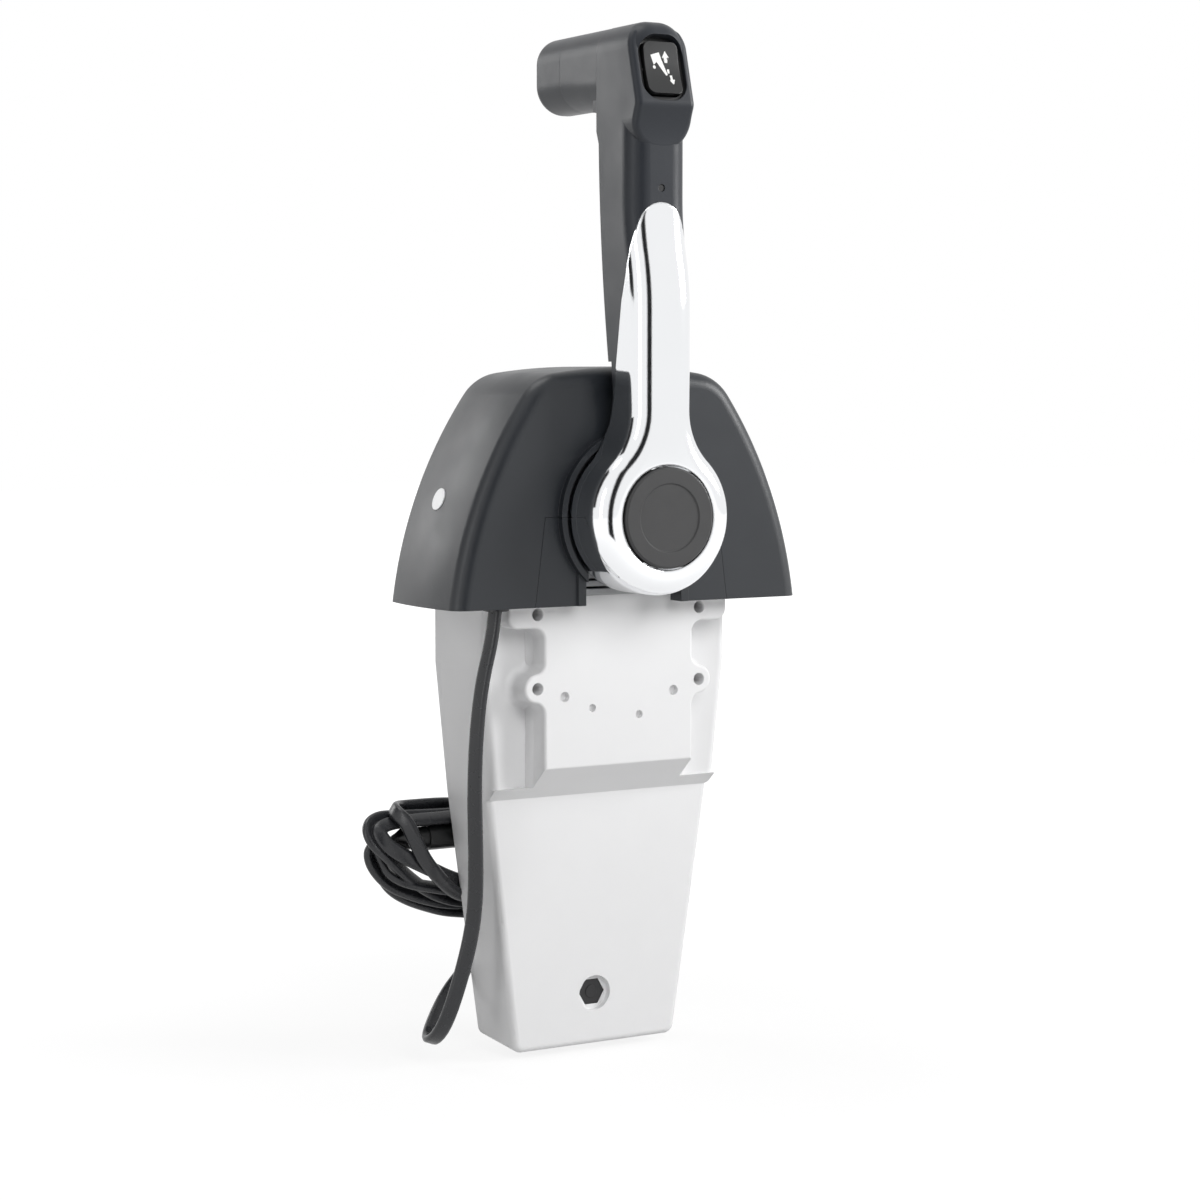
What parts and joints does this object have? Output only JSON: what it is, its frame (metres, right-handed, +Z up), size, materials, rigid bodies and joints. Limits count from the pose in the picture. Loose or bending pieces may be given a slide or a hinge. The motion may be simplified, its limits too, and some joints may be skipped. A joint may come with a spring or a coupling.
{
  "type": "boat throttle control lever",
  "caption": "Side-mount boat engine control: chrome and charcoal T-handle lever on a hooded pivot above a cast housing with cable arms inside and a trailing switch lead.",
  "frame": {"origin": "centre of the hood's rim and of the flange's four bolts, on the top of the console", "axes": "+Z up out of the console, +X fore and aft along the hood, -Y towards the lever's side"},
  "size_m": [0.186, 0.113, 0.4547],
  "materials": {
    "hood_plastic": "satin charcoal with a faint blue tint",
    "grip_plastic": "soft satin charcoal",
    "black_plastic": "fine matt black",
    "white_plastic": "gloss white",
    "frame_plastic": "matt light grey",
    "gear_plastic": "natural nylon",
    "chrome": "mirror polished plate",
    "cast_silver": "satin silver paint on a casting",
    "steel": "plain stainless",
    "bronze": "sintered bronze",
    "cable_rubber": "smooth satin black jacket"
  },
  "bodies": {
    "housing": {"hood": "hood_plastic", "slot_cover": "hood_plastic", "end_disc": "white_plastic", "hood_screws": "steel", "mount_flange": "cast_silver", "pivot_frame": "frame_plastic", "frame_screws": "steel", "friction_screw": "steel", "housing_front": "cast_silver", "housing_back": "cast_silver", "housing_screws": "steel", "anchor_bolt": "steel", "anchor_nut": "steel", "shaft_bush_near": "bronze", "shaft_bush_far": "bronze", "shift_axle": "steel", "throttle_axle": "steel", "shift_clip": "steel", "throttle_clip": "steel", "neutral_sensor": "black_plastic", "switch_lead": "cable_rubber", "lead_coil": "cable_rubber", "lead_connector": "black_plastic", "lead_grommet": "cable_rubber", "coil_strap": "black_plastic", "strap_screw": "steel"},
    "lever": {"lever_arm": "chrome", "grip": "grip_plastic", "grip_screw": "steel", "grip_handle": "grip_plastic", "grip_end": "grip_plastic", "switch_bezel": "black_plastic", "rocker_pin": "steel", "lever_shaft": "steel", "shaft_circlip": "steel", "drive_gear": "gear_plastic", "neutral_cam": "gear_plastic", "button_spring": "steel"},
    "button": {"neutral_button": "black_plastic"},
    "rocker": {"trim_rocker": "black_plastic"},
    "shift": {"shift_gear": "gear_plastic", "shift_arm": "steel", "shift_pin": "steel"},
    "throttle": {"throttle_gear": "gear_plastic", "throttle_arm": "steel", "throttle_pin": "steel"}
  },
  "joints": [
    {"name": "lever_swing", "type": "hinge", "parent": "housing", "child": "lever", "pos_m": [0, 0, 0.039], "axis": [0, 1, 0], "range_deg": [-60, 75]},
    {"name": "shift_swing", "type": "hinge", "parent": "housing", "child": "shift", "pos_m": [-0.01642, 0, -0.00611], "axis": [0, 1, 0], "range_deg": [-45, 36]},
    {"name": "throttle_swing", "type": "hinge", "parent": "housing", "child": "throttle", "pos_m": [0.01642, 0, -0.00611], "axis": [0, 1, 0], "range_deg": [-45, 36]},
    {"name": "neutral_press", "type": "slide", "parent": "lever", "child": "button", "axis": [0, 1, 0], "range_m": [0, 0.003], "stiffness_N_per_m": 1200, "springref_m": -0.002, "deforming": ["button_spring"]},
    {"name": "trim_rock", "type": "hinge", "parent": "lever", "child": "rocker", "pos_m": [0, -0.05378, 0.22955], "axis": [1, 0, 0], "range_deg": [-5, 5], "stiffness_Nm_per_rad": 0.2}
  ],
  "couplings": [
    {"joint": "shift_swing", "follows": "lever_swing", "ratio": -0.6},
    {"joint": "throttle_swing", "follows": "lever_swing", "ratio": -0.6}
  ]
}
